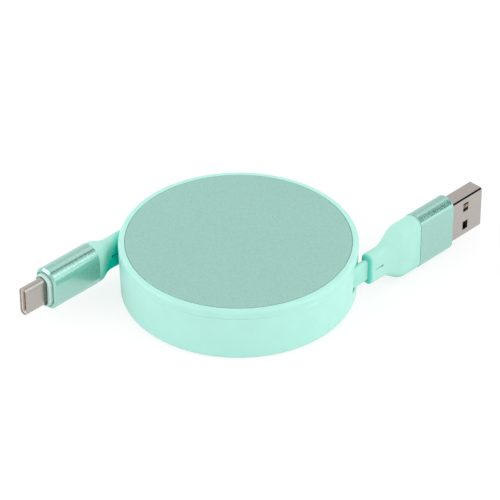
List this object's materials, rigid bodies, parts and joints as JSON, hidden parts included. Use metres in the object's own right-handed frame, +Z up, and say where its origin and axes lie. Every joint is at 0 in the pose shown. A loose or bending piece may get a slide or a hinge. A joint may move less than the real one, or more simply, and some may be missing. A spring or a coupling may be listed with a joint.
{
  "type": "retractable usb charging cable",
  "caption": "Flat charging cable wound on a sprung reel in a round case with an aluminium disc on top, with a USB-A plug on one side and a USB-C plug on the other.",
  "frame": {"origin": "middle of the flat base of the round case, where it rests", "axes": "+Z up out of the disc, +X along the cable towards the USB-A plug, -X towards the USB-C plug"},
  "size_m": [0.1149, 0.0626, 0.0167],
  "materials": {
    "case_plastic": "satin moulded mint plastic",
    "disc_aluminium": "blasted and anodised, pale mint",
    "adhesive_film": "clear double-sided film",
    "screw_steel": "plain steel",
    "ball_steel": "polished steel",
    "reel_plastic": "plain white moulding",
    "spring_steel": "rolled spring strip",
    "cable_jacket": "matte soft mint jacket",
    "boot_rubber": "matte soft mint moulding",
    "sleeve_aluminium": "brushed round the section and anodised mint",
    "inner_plastic": "plain white moulding",
    "shell_steel": "satin nickel-plated steel",
    "tongue_plastic": "black insulator",
    "contact_metal": "gold plated",
    "nose_plastic": "pale mint-white moulding",
    "insulator_plastic": "grey-beige insulator"
  },
  "bodies": {
    "case": {"lower_case": "case_plastic", "upper_cover": "case_plastic", "top_disc": "disc_aluminium", "disc_adhesive": "adhesive_film", "centre_screw": "screw_steel"},
    "reel": {"reel_drum": "reel_plastic", "reel_cap": "reel_plastic", "power_spring": "spring_steel", "cable_roll": "cable_jacket"},
    "latch_ball": {"latch_ball": "ball_steel"},
    "usb_a_plug": {"usb_a_lead": "cable_jacket", "usb_a_boot": "boot_rubber", "usb_a_sleeve": "sleeve_aluminium", "usb_a_inner_mould": "inner_plastic", "usb_a_shell": "shell_steel", "usb_a_tongue": "tongue_plastic", "usb_a_contacts": "contact_metal"},
    "usb_c_plug": {"usb_c_lead": "cable_jacket", "usb_c_boot": "boot_rubber", "usb_c_sleeve": "sleeve_aluminium", "usb_c_inner_mould": "inner_plastic", "usb_c_nose": "nose_plastic", "usb_c_shell": "shell_steel", "usb_c_insulator": "insulator_plastic", "usb_c_contacts": "contact_metal", "usb_c_latch_springs": "spring_steel"}
  },
  "joints": [
    {"name": "reel_spin", "type": "hinge", "parent": "case", "child": "reel", "pos_m": [0, 0, 0], "axis": [0, 0, 1], "range_deg": [0, 1080], "stiffness_Nm_per_rad": 0.0012, "springref_deg": -458.37, "deforming": ["power_spring"]},
    {"name": "usb_a_pull", "type": "slide", "parent": "case", "child": "usb_a_plug", "axis": [1, 0, 0], "range_m": [0, 0.49631]},
    {"name": "usb_c_pull", "type": "slide", "parent": "case", "child": "usb_c_plug", "axis": [-1, 0, 0], "range_m": [0, 0.49631]},
    {"name": "latch_slide", "type": "slide", "parent": "case", "child": "latch_ball", "axis": [1, 0, 0], "range_m": [0, 0.0015]}
  ],
  "couplings": [
    {"joint": "usb_a_pull", "follows": "reel_spin", "m_per_rad": 0.02633},
    {"joint": "usb_c_pull", "follows": "reel_spin", "m_per_rad": 0.02633}
  ]
}
